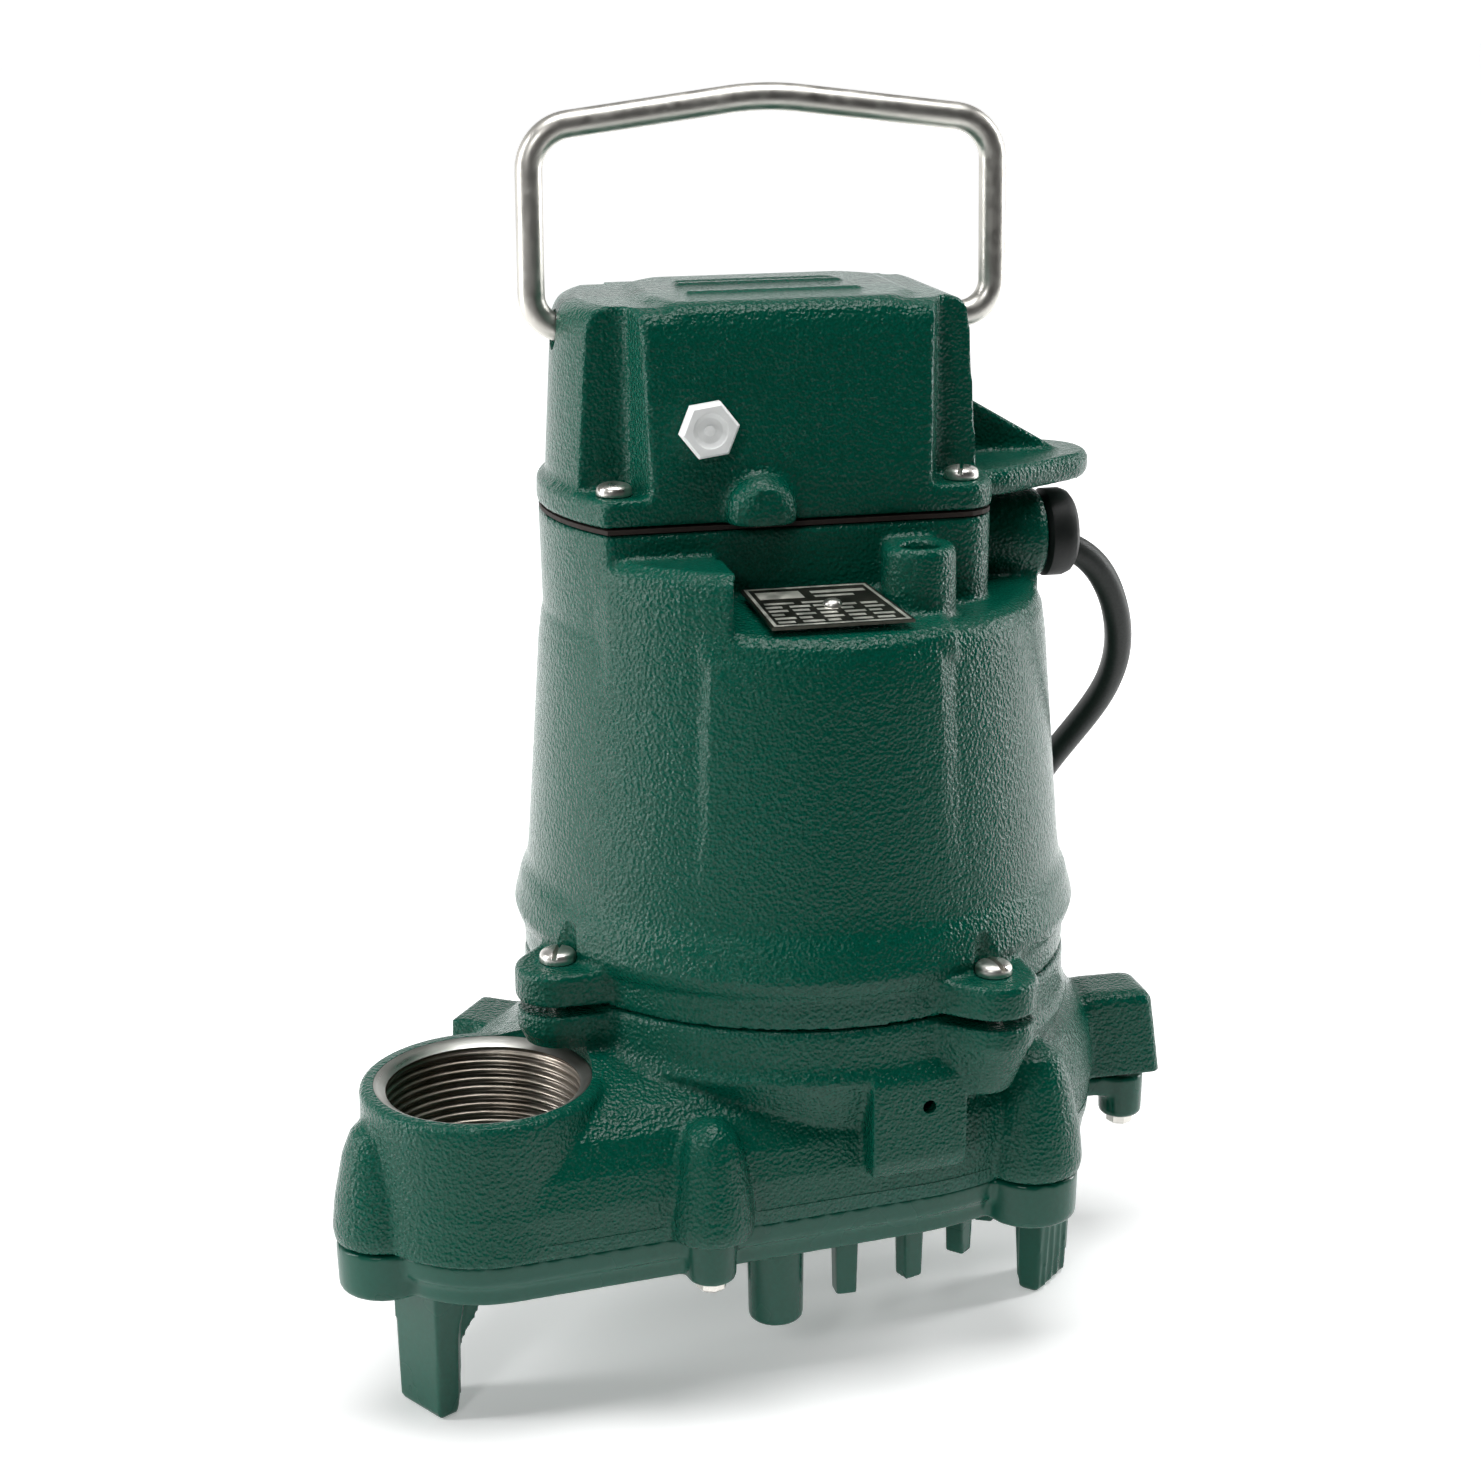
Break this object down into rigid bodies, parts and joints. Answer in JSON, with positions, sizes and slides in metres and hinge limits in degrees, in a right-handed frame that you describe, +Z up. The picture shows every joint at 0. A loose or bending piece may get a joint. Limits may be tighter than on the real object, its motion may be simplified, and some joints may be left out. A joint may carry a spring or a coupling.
{
  "type": "submersible sump pump",
  "caption": "Submersible sump pump: green enamelled castings, threaded upright outlet, strainer base on feet, steel bail handle, nameplate and power cord with plug.",
  "frame": {"origin": "bottom centre of the pump's bounding box without its cord: the floor the feet stand on", "axes": "+Z up along the motor shaft, +X towards the cord gland, -Y towards the nameplate and the outlet"},
  "size_m": [0.2206, 0.2898, 0.3019],
  "materials": {
    "enamel": "glossy orange-peel enamel on a rough casting",
    "plastic_green": "satin moulded, textured band at the rim",
    "stainless": "satin",
    "screw_steel": "bright",
    "gasket": "matte",
    "nylon": "satin moulded",
    "gland_black": "satin moulded",
    "cord_rubber": "matte",
    "plug_black": "satin moulded",
    "plate": "printed, satin",
    "copper": "enamelled wire",
    "laminate": "oiled laminations",
    "cast_seal": "machined",
    "carbon": "lapped",
    "ceramic": "lapped",
    "brass": "plain",
    "engineering_plastic": "moulded",
    "bronze": "sintered"
  },
  "bodies": {
    "pump": {"base_plate": "plastic_green", "base_screw_1": "screw_steel", "base_screw_2": "screw_steel", "base_screw_3": "screw_steel", "base_screw_4": "screw_steel", "base_screw_5": "screw_steel", "base_screw_6": "screw_steel", "bearing_lower_outer": "stainless", "bearing_upper": "bronze", "case_gasket": "gasket", "case_screw_1": "screw_steel", "case_screw_2": "screw_steel", "case_screw_3": "screw_steel", "case_screw_4": "screw_steel", "cord_coil": "cord_rubber", "cord_free": "cord_rubber", "flange_screw_1": "screw_steel", "flange_screw_2": "screw_steel", "flange_screw_3": "screw_steel", "flange_screw_4": "screw_steel", "gland_nut": "gland_black", "motor_housing": "enamel", "nameplate": "plate", "nameplate_rivet": "screw_steel", "oil_plug": "nylon", "overload_protector": "plug_black", "plug_blade_a": "brass", "plug_blade_b": "brass", "plug_body": "plug_black", "plug_earth_pin": "brass", "seal_plate": "cast_seal", "seal_stationary": "ceramic", "start_relay": "engineering_plastic", "stator_core": "laminate", "switch_case": "enamel", "terminal_block": "nylon", "volute_case": "enamel", "winding_lower": "copper", "winding_upper": "copper"},
    "handle": {"handle": "stainless"},
    "shaft_assembly": {"shaft": "stainless", "rotor": "laminate", "bearing_lower_inner": "stainless", "seal_rotary": "carbon", "impeller": "engineering_plastic", "impeller_nut": "stainless"}
  },
  "joints": [
    {"name": "handle_swing", "type": "hinge", "parent": "pump", "child": "handle", "pos_m": [0.00495, -0.00865, 0.247], "axis": [1, 0, 0], "range_deg": [-90, 90]},
    {"name": "shaft_spin", "type": "hinge", "parent": "pump", "child": "shaft_assembly", "pos_m": [0.0108, -0.00905, 0.11], "axis": [0, 0, 1], "continuous": true}
  ]
}
